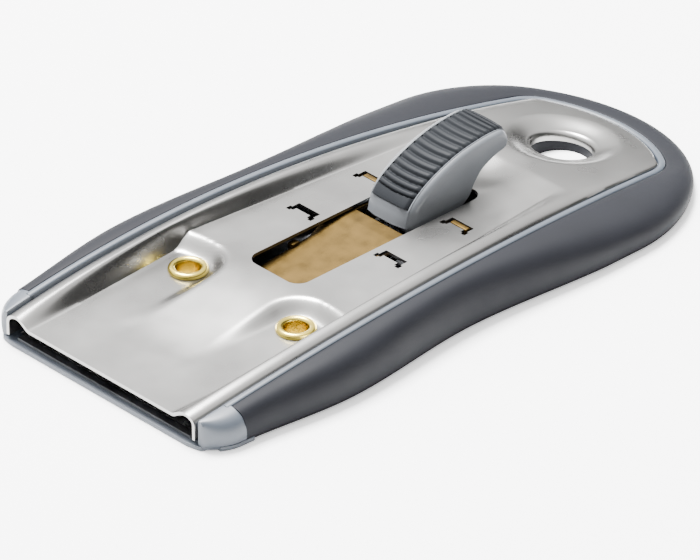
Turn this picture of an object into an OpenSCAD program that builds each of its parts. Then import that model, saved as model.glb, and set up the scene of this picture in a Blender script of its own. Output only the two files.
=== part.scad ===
// Hand scraper knife: a pressed steel cover on a moulded body with a soft grip.
// A thumb lever carries the blade out of the mouth and locks it in two places.
// Millimetres. +Z is up, the mouth faces -Y, z = 0 is the surface it rests on.

/* [Overall] */
// Length from the mouth to the rear end
body_l = 128; // [124:1:156]
// Width of the steel cover at its widest
plate_w = 46.8; // [46:0.2:57]

/* [Steel cover] */
// Thickness of the pressed sheet
sheet_t = 0.6; // [0.4:0.1:0.8]
// Height of the two side rails at their highest
crest_z = 9.8; // [9.4:0.1:12]
// Distance from the mouth to the highest point of the rails
crest_back = 53; // [44:1:62]
// Height of the rails at the mouth
crest_mouth_z = 5.9; // [5.6:0.1:6.4]
// Height of the cover at its rear edge
tail_z = 2.9; // [2.5:0.1:3.6]
// Height of the flat at the mouth
mouth_z = 4.6; // [4.4:0.1:5]
// Height of the flat deck around the slot
deck_z = 7.33; // [7.2:0.05:7.6]
// Distance of a rail's top in from the cover's edge
rail_in = 2.4; // [2:0.1:3]
// Width of the flat between the rails at the mouth
mouth_flat_w = 35.2; // [34:0.2:37]
// Radius of the cover's rear corners
plate_corner_r = 2.5; // [1.5:0.1:4]
// Bulge of the cover's rear edge
tail_bulge = 6; // [3:0.5:8]
// Width of the cover at its rear corners
tail_w = 31.7; // [28:0.1:36]

/* [Slot and windows] */
// Distance from the mouth to the slot's front
slot_back = 39.5; // [38:0.5:44]
// Length of the slot
slot_l = 43.8; // [43.8:0.1:54]
// Width of the slot
slot_w = 12.9; // [12.6:0.1:13.2]
// Radius of the slot's corners
slot_corner_r = 2.6; // [1:0.1:4]
// Distance from the mouth to the rear edge of the front windows
window_back = 58.5; // [56:0.5:60]
// Travel of the blade between its two locked places
travel = 15.6; // [10:0.1:15.6]
// Width of a window across the knife
window_w = 5.2; // [4.4:0.1:5.4]
// Width of the land between the slot and a window
window_land = 1.65; // [1.4:0.05:2.4]
// Width of a window's cross slit
window_bar = 1.5; // [1.2:0.1:1.8]
// Length of a window's legs
window_leg = 2.7; // [2.2:0.1:3]

/* [Eyelets] */
// Distance from the mouth to the eyelets
eyelet_back = 32.7; // [32:0.1:35]
// Distance of an eyelet from the middle line
eyelet_x = 13.25; // [12.8:0.05:14]
// Bore of an eyelet
eyelet_bore = 4.2; // [3.6:0.1:4.6]
// Wall of an eyelet's barrel
eyelet_wall = 0.3; // [0.2:0.05:0.5]
// Width across an eyelet's flange
eyelet_flange = 7.1; // [6.4:0.1:7.6]

/* [Hanging hole] */
// Distance from the rear end to the hanging hole
hang_inset = 19.4; // [19:0.2:24]
// Bore of the hanging hole
hang_bore = 11; // [8:0.1:12]
// Radius of the dish around the hanging hole
dish_r = 10.5; // [9:0.1:11.5]
// Depth of the dish
dish_depth = 1.3; // [0.8:0.1:1.6]

/* [Body and grip] */
// Width of the pale trim around the cover
trim_w = 1.3; // [1:0.1:2]
// Gap between the cover and the trim
trim_gap = 0.35; // [0.2:0.05:0.5]
// Thickness of the body's floor
floor_t = 0.8; // [0.7:0.1:1]
// How far the grip stands out past the cover's widest half at the front bulge
grip_front = 7.2; // [6:0.1:9]
// The same at the waist
grip_waist = 4.8; // [4:0.1:6]
// The same at the palm swell
grip_palm = 7; // [6:0.1:9]
// Width of the grip's band behind the trim at the rear end
grip_tail = 4.4; // [4:0.1:6]
// Length of the rounded rear end
tail_round = 30; // [26:1:36]
// Length of the hard bumpers beside the mouth
bumper_l = 8; // [6:0.5:12]

/* [Blade and carriage] */
// Width of the blade
blade_w = 43; // [38:0.5:43]
// Depth of the blade from edge to back
blade_l = 22; // [18:0.5:22]
// Thickness of the blade
blade_t = 0.3; // [0.2:0.05:0.4]
// Distance of the drawn-in blade's edge behind the mouth
blade_back = 2; // [1.5:0.5:4]
// Thickness of the carriage strip
carriage_t = 0.7; // [0.5:0.1:0.9]
// Width of each arm of the carriage's fork
fork_arm = 1.8; // [1.4:0.1:2.2]

/* [Thumb lever] */
// Gap between the lever and the slot at each side
lever_gap = 0.95; // [0.5:0.05:1.5]
// Length of the lever from its front foot to its tail
lever_l = 24; // [23:0.5:28]
// Height of the lever's top above the surface it rests on
lever_top = 17.6; // [16:0.1:20]
// Diameter of the lever's hinge pin
pin_d = 2; // [1.6:0.1:2.6]
// Running clearance of the pin in the lever, on the radius
pin_clear = 0.05; // [0.02:0.01:0.1]

/* [Fits] */
// Sliding clearance between the carriage's pieces and what guides them
slide_clear = 0.3; // [0.2:0.05:0.4]
// Clearance between pieces that are laid on each other
lay_clear = 0.1; // [0.05:0.05:0.2]

/* [Hidden] */
$fn = 48;

// ---- places along the knife ----
front_y = -body_l / 2;
rear_y = body_l / 2;
plate_front_y = front_y + 0.4;
crest_y = front_y + crest_back;
widest_y = front_y + 18;
slot_front_y = front_y + slot_back;
slot_rear_y = slot_front_y + slot_l;
window_y = front_y + window_back;
eyelet_y = front_y + eyelet_back;
hang_y = rear_y - hang_inset;
trim_rear_y = rear_y - grip_tail;
plate_rear_y = trim_rear_y - trim_w - trim_gap;
ramp_y = [front_y + 13, front_y + 39];

// ---- places across the knife ----
lever_w = slot_w - 2 * lever_gap;
fork_in = lever_w / 2 + 0.7;
carriage_w = 2 * (fork_in + fork_arm);
window_x = slot_w / 2 + window_land + window_w / 2;
hook_w = window_w - 1.5;
latch_reach = window_x + hook_w / 2;
rib_t = 1.2;
rib_x = latch_reach + 2.45 + rib_t / 2;

// ---- shape of the pressed cover ----
front_crown_r = arc_radius(crest_y - plate_front_y, crest_z - crest_mouth_z);
rear_crown_r = arc_radius(plate_rear_y - crest_y, crest_z - tail_z);
tail_half = tail_w / 2;
tail_r = arc_radius(tail_half, tail_bulge);
taper_r = arc_radius(plate_rear_y - tail_bulge - widest_y, (plate_w - tail_w) / 2);
rail_drop = 1;
skirt_z = 1.6;
channel_r = 5.2;
channel_rise = 0.3;
channel_soft = 0.8;
dimple_y = slot_rear_y + 6;
dimple_half = [8, 9];
dimple_depth = 1.1;

function arc_radius(run, rise) = (run * run + rise * rise) / (2 * rise);
function bow(d, r) = r - sqrt(r * r - d * d);
function mix(a, b, t) = a + (b - a) * t;
function ease(t) = let (u = min(max(t, 0), 1)) u * u * (3 - 2 * u);

// Height of the long arch that the rails, the trim and the tail follow
function arch(y) = crest_z - bow(y - crest_y, y < crest_y ? front_crown_r : rear_crown_r);
// Half the cover's width
function plate_half(y) = plate_w / 2 - bow(y - widest_y, taper_r);
// Half the width between the rails' feet
function flat_half(y) =
    let (from_mouth = y - front_y, turn = slot_back)
    from_mouth < turn ? mouth_flat_w / 2 + 1.8 * from_mouth / turn
                      : mouth_flat_w / 2 + 1.8 - 0.1 * (from_mouth - turn);
// 1 inside the sunk channel in front of an eyelet, 0 on the land between the channels
function in_channel(x, y) =
    let (out = y < eyelet_y ? abs(x) - (eyelet_x - channel_r)
                            : channel_r - norm([abs(x) - eyelet_x, y - eyelet_y]))
    ease(0.5 + out / (2 * channel_soft));
function land_z(y) = mix(mouth_z, deck_z, ease((y - ramp_y[0]) / (ramp_y[1] - ramp_y[0])));
function channel_z(y) = mouth_z + channel_rise * ease((y - front_y) / eyelet_back);
function deck(x, y) = mix(land_z(y), channel_z(y), y < ramp_y[1] ? in_channel(x, y) : 0);
function dish(x, y) = dish_depth * (1 - ease((norm([x, y - hang_y]) - hang_bore / 2) / (dish_r - hang_bore / 2)));
function dimple(x, y) = dimple_depth * (1 - ease(norm([x / dimple_half[0], (y - dimple_y) / dimple_half[1]])));
// Height of the cover's upper face
function cover_z(x, y) =
    let (crown = arch(y),
         low = min(deck(x, y), crown),
         foot = flat_half(y),
         top = plate_half(y) - rail_in)
    abs(x) <= top ? mix(low, crown, ease((abs(x) - foot) / (top - foot))) - dish(x, y) - dimple(x, y)
                  : crown - rail_drop * pow((abs(x) - top) / rail_in, 2);

// ---- outlines ----
function tail_y(x, end_y) = end_y - bow(min(abs(x), tail_half), tail_r);

// Outline of the cover as [half width, y], grown by more, from the mouth to the rear corner
function cover_side(more, from_y) =
    let (corner_y = tail_y(tail_half, plate_rear_y) + more)
    [for (i = [0 : 16]) let (y = mix(from_y, corner_y - plate_corner_r, i / 16)) [plate_half(y) + more, y]];
// Rear corner and rear edge, from the corner to the middle line
function cover_tail(more) =
    let (corner_y = tail_y(tail_half, plate_rear_y) + more,
         corner_x = plate_half(corner_y) + more,
         inset = plate_corner_r * 0.7)
    concat([[corner_x - 0.25 * inset, corner_y - 0.25 * inset]],
           [for (i = [7 : -1 : 0])
               let (x = i == 7 ? tail_half - inset : tail_half * i / 8) [x, tail_y(x, plate_rear_y) + more]]);
function cover_half(more, from_y = plate_front_y) = concat(cover_side(more, from_y), cover_tail(more));

// How far the grip stands out past the cover's widest half
function proud(s) =
    s < 30 ? mix(grip_waist, grip_front, ease((s - 4) / 26))
    : s < 60 ? mix(grip_front, grip_waist, ease((s - 30) / 30))
             : mix(grip_waist, grip_palm, ease((s - 60) / 34));
// Outer edge of the grip as [half width, y], one point for each point of cover_half
round_y = rear_y - tail_round;
turn_y = round_y - 8;
function grip_half(from_y = plate_front_y) =
    let (inner = cover_half(0, from_y), last = len(inner) - 1,
         start = len([for (p = inner) if (p[1] < turn_y) p]) - 1,
         start_y = inner[start][1],
         start_x = plate_w / 2 + proud(start_y - front_y))
    [for (i = [0 : last])
        let (along = (i - start) / (last - start), straight = 0.15)
        i <= start ? [plate_w / 2 + proud(inner[i][1] - front_y), inner[i][1]]
        : along < straight ? [start_x, mix(start_y, round_y, along / straight)]
        : let (turned = 90 * (along - straight) / (1 - straight))
          [start_x * cos(turned), round_y + tail_round * sin(turned)]];

module half_and_mirror(half) {
    polygon(concat(half, [for (i = [len(half) - 1 : -1 : 0]) [-half[i][0], half[i][1]]]));
}

// A bar drawn in the side view (y, z) and w wide across the knife
module across(w, side) {
    rotate([90, 0, 90])
        linear_extrude(w, center = true)
            polygon(side);
}

// All that lies under the long arch, lowered by down
module under_arch(down) {
    steps = 20;
    across(2 * plate_w, concat([[rear_y + 1, -1], [front_y - 1, -1]],
        [for (i = [0 : steps]) let (y = mix(front_y - 1, rear_y + 1, i / steps)) [y, arch(y) - down]]));
}

// Closed skin over rows of points. All rows have the same even count, and point i faces point n - 1 - i
module skin(rows) {
    n = len(rows[0]);
    far = (len(rows) - 1) * n;
    sides = [for (j = [0 : len(rows) - 2]) for (i = [0 : n - 1])
        [j * n + i, j * n + (i + 1) % n, (j + 1) * n + (i + 1) % n, (j + 1) * n + i]];
    near_cap = [for (i = [0 : n / 2 - 2]) [i, n - 1 - i, n - 2 - i, i + 1]];
    far_cap = [for (q = near_cap) [far + q[3], far + q[2], far + q[1], far + q[0]]];
    quads = concat(sides, near_cap, far_cap);
    polyhedron([for (row = rows) each row],
               concat([for (q = quads) [q[0], q[2], q[1]]], [for (q = quads) [q[0], q[3], q[2]]]));
}

// ---- hanging hole ----
collar_l = 1.6;
hang_lip_z = cover_z(0, hang_y);
hang_tilt = atan((arch(hang_y - 1) - arch(hang_y + 1)) / 2);
// Places children on the hanging hole's axis, square to the cover
module at_hang() {
    translate([0, hang_y, hang_lip_z])
        rotate([-hang_tilt, 0, 0])
            children();
}

// ---- pressed steel cover ----
cover_rows = 46;
seat_r = eyelet_flange / 2 + 0.15;
// Share of the cover's length at which its line through an eyelet passes y
function share_at(y) = (y - plate_front_y) / (tail_y(eyelet_x, plate_rear_y) - plate_front_y);
// Rows at even steps, with two set to the end of an eyelet's flat seat and the end of its channel
function cover_steps() =
    let (seat_end = share_at(eyelet_y + seat_r), channel_end = share_at(eyelet_y + channel_r + 0.5),
         even = [for (j = [0 : cover_rows]) j / cover_rows])
    concat([for (t = even) if (t < seat_end - 0.005) t], [seat_end, channel_end],
           [for (t = even) if (t > channel_end + 0.005) t]);
// Places across half the cover, from the middle line out
function cover_columns(y) =
    let (foot = flat_half(y), top = plate_half(y) - rail_in, land = eyelet_x - channel_r,
         flat = [0, 0.5 * land, land - channel_soft, land + channel_soft, eyelet_x - seat_r, eyelet_x + seat_r],
         squeeze = min(1, foot / (eyelet_x + seat_r + 0.4)))
    concat(squeeze * flat,
           [foot, mix(foot, top, 0.33), mix(foot, top, 0.67), top, top + 0.5 * rail_in, plate_half(y)]);
function cover_row(t) =
    let (base = mix(plate_front_y, plate_rear_y, t),
         right = [for (x = cover_columns(base))
                     let (y = mix(plate_front_y, tail_y(x, plate_rear_y), t)) [x, y, cover_z(x, y)]],
         edge = right[len(right) - 1],
         under = [for (p = right) [p[0] > edge[0] - rail_in ? p[0] - sheet_t * (p[0] - edge[0] + rail_in) / rail_in
                                                            : p[0], p[1], p[2] - sheet_t]],
         low = min(skirt_z, edge[2] - 1.4),
         outer = concat([for (p = right) p], [[edge[0], edge[1], low]]),
         inner = concat([for (p = under) p], [[edge[0] - sheet_t, edge[1], low]]),
         last = len(outer) - 1)
    concat([for (i = [last : -1 : 1]) [-outer[i][0], outer[i][1], outer[i][2]]], outer,
           [for (i = [last : -1 : 0]) inner[i]],
           [for (i = [1 : last]) [-inner[i][0], inner[i][1], inner[i][2]]]);

module slot_cut() {
    translate([0, (slot_front_y + slot_rear_y) / 2, 0])
        linear_extrude(20) {
            square([slot_w - 2 * slot_corner_r, slot_l], center = true);
            square([slot_w, slot_l - 2 * slot_corner_r], center = true);
            for (sx = [-1, 1], sy = [-1, 1])
                translate([sx * (slot_w / 2 - slot_corner_r), sy * (slot_l / 2 - slot_corner_r)])
                    circle(slot_corner_r);
        }
}

// A window: a cross slit with a leg forward at each end, around a tongue
module window_cut(x, y) {
    leg_w = 0.9;
    translate([x - window_w / 2, y - window_bar, 0])
        cube([window_w, window_bar, 20]);
    for (side = [0, 1])
        translate([x - window_w / 2 + side * (window_w - leg_w), y - window_leg, 0])
            cube([leg_w, window_leg, 20]);
}

module top_plate() {
    color([0.80, 0.80, 0.79])
        difference() {
            union() {
                skin([for (t = cover_steps()) cover_row(t)]);
                at_hang()
                    translate([0, 0, -collar_l])
                        cylinder(collar_l - lay_clear, r = hang_bore / 2 + sheet_t);
            }
            at_hang()
                translate([0, 0, -8])
                    cylinder(16, d = hang_bore);
            slot_cut();
            for (sx = [-1, 1], k = [0, 1])
                window_cut(sx * window_x, window_y + k * travel);
            for (sx = [-1, 1])
                translate([sx * eyelet_x, eyelet_y, 0]) {
                    cylinder(20, r = eyelet_out + lay_clear);
                    translate([0, 0, channel_z(eyelet_y)])
                        cylinder(20, r = seat_r);
                }
        }
}

// ---- steel bed under the blade ----
bed_t = 0.5;
bed_z = floor_t;
bed_top = bed_z + bed_t;
bed_front_y = front_y + 1.2;
bed_rear_y = slot_rear_y + 4;
bed_wide_y = slot_front_y + 2;
bed_narrow = rib_x - rib_t / 2 - lay_clear;
eyelet_out = eyelet_bore / 2 + eyelet_wall;

module bed_plate() {
    color([0.62, 0.63, 0.64])
        translate([0, 0, bed_z])
            linear_extrude(bed_t)
                difference() {
                    union() {
                        bed_wide = plate_half(bed_front_y) - sheet_t - slide_clear - 1;
                        translate([-bed_wide, bed_front_y])
                            square([2 * bed_wide, bed_wide_y - bed_front_y]);
                        translate([-bed_narrow, bed_front_y])
                            square([2 * bed_narrow, bed_rear_y - bed_front_y]);
                    }
                    for (sx = [-1, 1])
                        translate([sx * eyelet_x, eyelet_y])
                            circle(boss_r + lay_clear);
                }
}

// ---- hard body: floor, walls, trim, bumpers and bosses ----
trim_out = trim_gap + trim_w;
trim_down = 0.3;
boss_r = eyelet_out + 1.4;
hang_boss_r = hang_bore / 2 + sheet_t + lay_clear + 1.4;
recess_r = eyelet_flange / 2 + 0.3;
recess_deep = 0.45;

module body_frame() {
    color([0.73, 0.74, 0.76])
        difference() {
            union() {
                linear_extrude(floor_t)
                    half_and_mirror(cover_half(trim_out, front_y));
                intersection() {
                    linear_extrude(14)
                        difference() {
                            half_and_mirror(cover_half(trim_out, front_y));
                            half_and_mirror(cover_half(trim_gap, front_y - 2));
                        }
                    under_arch(trim_down);
                }
                intersection() {
                    linear_extrude(14)
                        for (sx = [0, 1])
                            mirror([sx, 0])
                                bumper_outline();
                    under_arch(1.4);
                }
                for (sx = [-1, 1])
                    translate([sx * eyelet_x, eyelet_y, 0])
                        cylinder(channel_z(eyelet_y) - sheet_t - lay_clear, r = boss_r);
                for (sx = [-1, 1])
                    translate([sx * rib_x - rib_t / 2, slot_front_y + 4, 0])
                        cube([rib_t, slot_l - 2, deck_z - sheet_t - lay_clear]);
                intersection() {
                    at_hang()
                        translate([0, 0, -12])
                            cylinder(12 - collar_l, r = hang_boss_r);
                    translate([-20, hang_y - 20, 0])
                        cube([40, 40, 20]);
                }
            }
            at_hang()
                translate([0, 0, -14])
                    cylinder(20, r = hang_bore / 2 + sheet_t + lay_clear);
            for (sx = [-1, 1])
                translate([sx * eyelet_x, eyelet_y, -1]) {
                    cylinder(10, r = eyelet_out + lay_clear);
                    cylinder(1 + recess_deep, r = recess_r);
                }
        }
}

bumper_y = front_y + bumper_l;
// Bumper beside the mouth, round at its front corner
module bumper_outline() {
    inner = plate_half(front_y) + trim_out - 0.4;
    outer = plate_w / 2 + grip_waist;
    r = outer - inner;
    translate([inner, front_y])
        intersection() {
            union() {
                translate([0, r])
                    circle(r);
                translate([0, r])
                    square([r, bumper_l - r]);
            }
            square([r, bumper_l]);
        }
}

// ---- soft grip around the body ----
grip_gap = 0.05;
// Section of the grip as [across from 0 inside to 1 outside, share of the height]
grip_section = [[0, 0], [0, 0.98], [0.4, 0.96], [0.8, 0.82], [1, 0.45], [1, 0]];
bottom_in = 1.4;
function grip_ring(inner, outer) =
    let (top = arch(inner[1]) - trim_down, along = outer - inner, reach = norm(along))
    [for (s = grip_section)
        let (tuck = s[1] == 0 && s[0] == 1 ? bottom_in / reach : 0, at = inner + along * (s[0] - tuck))
        [at[0], at[1], top * s[1]]];

module soft_grip() {
    inner = cover_half(trim_out + grip_gap, bumper_y + grip_gap);
    outer = grip_half(bumper_y + grip_gap);
    rings = [for (i = [0 : len(inner) - 1]) grip_ring(inner[i], outer[i])];
    left = [for (i = [len(rings) - 2 : -1 : 0]) [for (p = rings[i]) [-p[0], p[1], p[2]]]];
    color([0.31, 0.32, 0.35])
        skin(concat(rings, left));
}

// Soft lining of the hanging hole, below the cover's collar
module hole_liner() {
    color([0.31, 0.32, 0.35])
        intersection() {
            at_hang()
                translate([0, 0, -12])
                    difference() {
                        cylinder(12 - collar_l - lay_clear, r = hang_bore / 2 + sheet_t);
                        translate([0, 0, -1])
                            cylinder(20, d = hang_bore);
                    }
            translate([-20, hang_y - 20, 0])
                cube([40, 40, 20]);
        }
}

// ---- eyelets ----
module eyelet() {
    top = channel_z(eyelet_y);
    flange_h = 1;
    rotate_extrude()
        polygon([[eyelet_bore / 2, 0.1], [eyelet_flange / 2 - 0.2, 0.1], [eyelet_flange / 2 - 0.2, recess_deep - 0.05],
                 [eyelet_out, recess_deep - 0.05], [eyelet_out, top], [eyelet_flange / 2, top],
                 [eyelet_flange / 2, top + 0.5 * flange_h], [eyelet_flange / 2 - 0.5, top + flange_h],
                 [eyelet_out, top + flange_h], [eyelet_bore / 2, top + 0.6 * flange_h]]);
}

module eyelet_left() {
    color([0.83, 0.68, 0.36])
        translate([-eyelet_x, eyelet_y, 0])
            eyelet();
}

module eyelet_right() {
    color([0.83, 0.68, 0.36])
        translate([eyelet_x, eyelet_y, 0])
            eyelet();
}

// ---- blade and its carriage ----
keeper_t = 0.4;
keeper_z = bed_top + lay_clear;
blade_z = keeper_z + keeper_t;
blade_edge_y = front_y + blade_back;
blade_rear_y = blade_edge_y + blade_l;
strip_low = blade_z + blade_t;
strip_high = deck_z - sheet_t - slide_clear - carriage_t;
foot_y = front_y + 65.4;
strip_y = blade_rear_y + 4;
holder_front_y = blade_rear_y - 7;
holder_w = blade_w - 9;
fork_y = foot_y + 16.6;
peg_r = 1.2;
peg_x = 12;
peg_y = blade_rear_y - 3.5;
rivet_r = 1;
rivet_x = 5;
rivet_y = blade_rear_y + 2;
blade_bevel = 1.6;

module blade() {
    color([0.60, 0.62, 0.65])
        difference() {
            union() {
                translate([-blade_w / 2, blade_edge_y + blade_bevel, blade_z])
                    cube([blade_w, blade_l - blade_bevel, blade_t]);
                blade_edge();
            }
            for (sx = [-1, 1])
                translate([sx * peg_x, peg_y, 0])
                    cylinder(10, r = peg_r + lay_clear);
        }
}

module blade_edge() {
    mid = blade_z + blade_t / 2;
    across(blade_w, [[blade_edge_y, mid], [blade_edge_y + blade_bevel, blade_z],
                     [blade_edge_y + blade_bevel, blade_z + blade_t]]);
}

module blade_keeper() {
    color([0.45, 0.46, 0.48])
        translate([0, 0, keeper_z])
            difference() {
                translate([-holder_w / 2, holder_front_y + 1, 0])
                    cube([holder_w, strip_y - holder_front_y - 1, keeper_t]);
                for (sx = [-1, 1]) {
                    translate([sx * peg_x, peg_y, -1])
                        cylinder(3, r = peg_r + lay_clear);
                    translate([sx * rivet_x, rivet_y, -1])
                        cylinder(3, r = rivet_r);
                }
            }
}

// Two rivets hold the keeper to the carriage behind the blade
module keeper_rivets() {
    color([0.70, 0.70, 0.68])
        for (sx = [-1, 1])
            translate([sx * rivet_x, rivet_y, keeper_z]) {
                cylinder(strip_low + carriage_t - keeper_z, r = rivet_r);
                translate([0, 0, strip_low + carriage_t - keeper_z])
                    cylinder(0.5, r = rivet_r + 0.6);
            }
}

pin_y = foot_y + 4.1;
pin_z = strip_high - 1.1;
ear_t = 0.7;
pin_out = fork_in + ear_t + 0.1;

// Formed strip: holder over the blade, slope up through the slot, fork for the lever
module carriage() {
    t = carriage_t;
    color([0.66, 0.58, 0.42])
        difference() {
            union() {
                translate([-holder_w / 2, holder_front_y, strip_low])
                    cube([holder_w, strip_y - holder_front_y, t]);
                across(carriage_w, [[strip_y - 1, strip_low], [strip_y, strip_low], [foot_y, strip_high],
                                    [fork_y, strip_high], [fork_y, strip_high + t], [foot_y, strip_high + t],
                                    [strip_y, strip_low + t], [strip_y - 1, strip_low + t]]);
                for (sx = [-1, 1]) {
                    translate([sx * (fork_in + ear_t / 2) - ear_t / 2, pin_y - 2, pin_z - 2])
                        cube([ear_t, 4, strip_high - pin_z + 2 + t / 2]);
                    translate([sx * peg_x, peg_y, blade_z - keeper_t + 0.1])
                        cylinder(strip_low - blade_z + keeper_t, r = peg_r);
                }
            }
            translate([-fork_in, foot_y - slide_clear, 0])
                cube([2 * fork_in, fork_y - foot_y + 2, 20]);
            translate([-20, pin_y, pin_z])
                rotate([0, 90, 0])
                    cylinder(40, r = pin_d / 2);
            for (sx = [-1, 1])
                translate([sx * rivet_x, rivet_y, 0])
                    cylinder(10, r = rivet_r);
        }
}

// ---- latch under the windows ----
latch_t = 0.6;
hook_t = 0.7;
hook_y = window_y + travel - 0.55;
latch_top = strip_high - 0.7;
latch_l = 5.4;

module latch_plate() {
    color([0.68, 0.58, 0.38]) {
        translate([-latch_reach, hook_y - hook_t / 2, latch_top - latch_t])
            cube([2 * latch_reach, latch_l, latch_t]);
        for (sx = [-1, 1])
            translate([sx * window_x - hook_w / 2, hook_y - hook_t / 2, latch_top - latch_t])
                cube([hook_w, hook_t, deck_z - sheet_t - slide_clear - latch_top + latch_t]);
    }
}

leaf_t = 0.25;
leaf_z = latch_top - latch_t - leaf_t;
leaf_in = pin_out + lay_clear;
leaf_out = leaf_in + 0.9;
// The leaf starts where the slope of the carriage comes down to it
leaf_y = mix(strip_y, foot_y, (leaf_z + leaf_t - strip_low) / (strip_high - strip_low));

// Forked leaf that presses the latch up, fixed under the slope of the carriage
module latch_spring() {
    color([0.40, 0.41, 0.43])
        difference() {
            translate([-leaf_out, leaf_y, leaf_z])
                cube([2 * leaf_out, hook_y + latch_l - leaf_y - 0.5, leaf_t]);
            translate([-leaf_in, leaf_y + 6, 0])
                cube([2 * leaf_in, 60, 20]);
        }
}

// ---- thumb lever ----
lever_top_y = foot_y + 22.4;
cam_y = hook_y + 3.6;
cam_gap = 0.15;
boss_out = 2;
latch_front_y = hook_y - hook_t / 2 - slide_clear;
// Top line of the lever from its front foot to its tail, as (y, z)
lever_line = [[foot_y, deck_z], [foot_y + 1.5, 10.6], [foot_y + 4.6, 13.1], [foot_y + 9.2, lever_top - 2.1],
              [foot_y + 15, lever_top - 0.5], [lever_top_y, lever_top], [foot_y + lever_l, lever_top - 2.6]];
pad_deep = 1;
pad_w = lever_w - 2;

module thumb_lever() {
    color([0.40, 0.40, 0.41])
        difference() {
            union() {
                across(lever_w, concat(lever_line,
                    [[foot_y + 20.4, lever_top - 4.2], [foot_y + 17, 10.9], [foot_y + 15.8, 8.8],
                     [foot_y + 15, 6.8], [cam_y, latch_top + cam_gap], [latch_front_y, latch_top + cam_gap],
                     [pin_y + boss_out, pin_z], [pin_y, pin_z - boss_out], [pin_y - boss_out, pin_z],
                     [foot_y + 0.3, deck_z - 1.2]]));
                translate([-lever_w / 2, pin_y, pin_z])
                    rotate([0, 90, 0])
                        cylinder(lever_w, r = boss_out);
            }
            translate([-20, pin_y, pin_z])
                rotate([0, 90, 0])
                    cylinder(40, r = pin_d / 2 + pin_clear);
            pad_body(pad_w + 2 * lay_clear, pad_deep + lay_clear);
            translate([-spring_w / 2 - 0.3, pin_y - 3, pin_z - 3])
                cube([spring_w + 0.6, 6, 5.6]);
        }
}

module pad_body(w, deep) {
    line = [for (i = [1 : len(lever_line) - 2]) lever_line[i]];
    across(w, concat([for (p = line) p + [-0.2, 0.3]],
                     [for (i = [len(line) - 1 : -1 : 0]) line[i] + [0.3 * deep, -0.95 * deep]]));
}

module lever_pad() {
    color([0.36, 0.37, 0.39])
        pad_body(pad_w, pad_deep);
}

module lever_pin() {
    color([0.75, 0.75, 0.74])
        translate([-pin_out, pin_y, pin_z])
            rotate([0, 90, 0])
                cylinder(2 * pin_out, r = pin_d / 2);
}

spring_w = 4;
spring_wire = 0.5;
spring_r = 1.6;
spring_turns = 5;

// Torsion spring round the pin
module lever_spring() {
    per_turn = 12;
    rows = [for (k = [0 : per_turn * spring_turns])
        let (turned = 360 * k / per_turn, x = mix(-1, 1, k / (per_turn * spring_turns)) * (spring_w - spring_wire) / 2)
        [for (a = [0 : 60 : 300])
            let (r = spring_r + spring_wire / 2 * cos(a))
            [x + spring_wire / 2 * sin(a), pin_y + r * cos(turned), pin_z + r * sin(turned)]]];
    color([0.55, 0.56, 0.58])
        skin(rows);
}

top_plate();
bed_plate();
body_frame();
soft_grip();
hole_liner();
eyelet_left();
eyelet_right();
carriage();
blade();
blade_keeper();
keeper_rivets();
latch_plate();
latch_spring();
thumb_lever();
lever_pad();
lever_pin();
lever_spring();
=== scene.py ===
"""Looks for a hand scraper knife: a pressed stainless cover, a moulded body, a soft grip and a thumb lever.

Shapes are worked out in millimetres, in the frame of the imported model, and turned to metres in each mesh.
"""

import math

import bpy
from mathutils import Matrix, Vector


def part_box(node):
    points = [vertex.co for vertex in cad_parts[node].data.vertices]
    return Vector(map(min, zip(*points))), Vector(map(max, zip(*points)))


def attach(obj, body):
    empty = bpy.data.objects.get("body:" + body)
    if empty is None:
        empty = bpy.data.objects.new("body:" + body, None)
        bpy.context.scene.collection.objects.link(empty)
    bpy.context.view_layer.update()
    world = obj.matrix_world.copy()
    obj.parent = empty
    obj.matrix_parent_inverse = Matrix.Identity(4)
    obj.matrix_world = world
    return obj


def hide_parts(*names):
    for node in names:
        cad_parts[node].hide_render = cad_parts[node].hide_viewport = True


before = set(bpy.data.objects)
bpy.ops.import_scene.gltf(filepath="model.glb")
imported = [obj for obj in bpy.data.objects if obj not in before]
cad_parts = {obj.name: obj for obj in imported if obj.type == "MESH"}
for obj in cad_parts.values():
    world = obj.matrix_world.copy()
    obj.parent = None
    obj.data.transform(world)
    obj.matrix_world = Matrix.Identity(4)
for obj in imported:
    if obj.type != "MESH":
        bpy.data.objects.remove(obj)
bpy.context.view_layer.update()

MM = 0.001
WELD = 0.000002


def node_box(node):
    """Lowest and highest corner of a CAD node, in millimetres."""
    low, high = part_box(node)
    return Vector(low) / MM, Vector(high) / MM


# ---- sizes taken from the frame ----
COVER_LOW, COVER_HIGH = node_box("top_plate")
EYELET_LOW, EYELET_HIGH = node_box("eyelet_right")
HOOK_LOW, HOOK_HIGH = node_box("latch_plate")
PIN_LOW, PIN_HIGH = node_box("lever_pin")

FRONT_Y = node_box("body_frame")[0].y
REAR_Y = node_box("soft_grip")[1].y
COVER_W = COVER_HIGH.x - COVER_LOW.x
COVER_FRONT_Y = COVER_LOW.y
COVER_REAR_Y = COVER_HIGH.y
EYELET = (EYELET_LOW + EYELET_HIGH) / 2
PIN = (PIN_LOW + PIN_HIGH) / 2
STRIP_LOW = node_box("blade")[1].z

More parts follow.
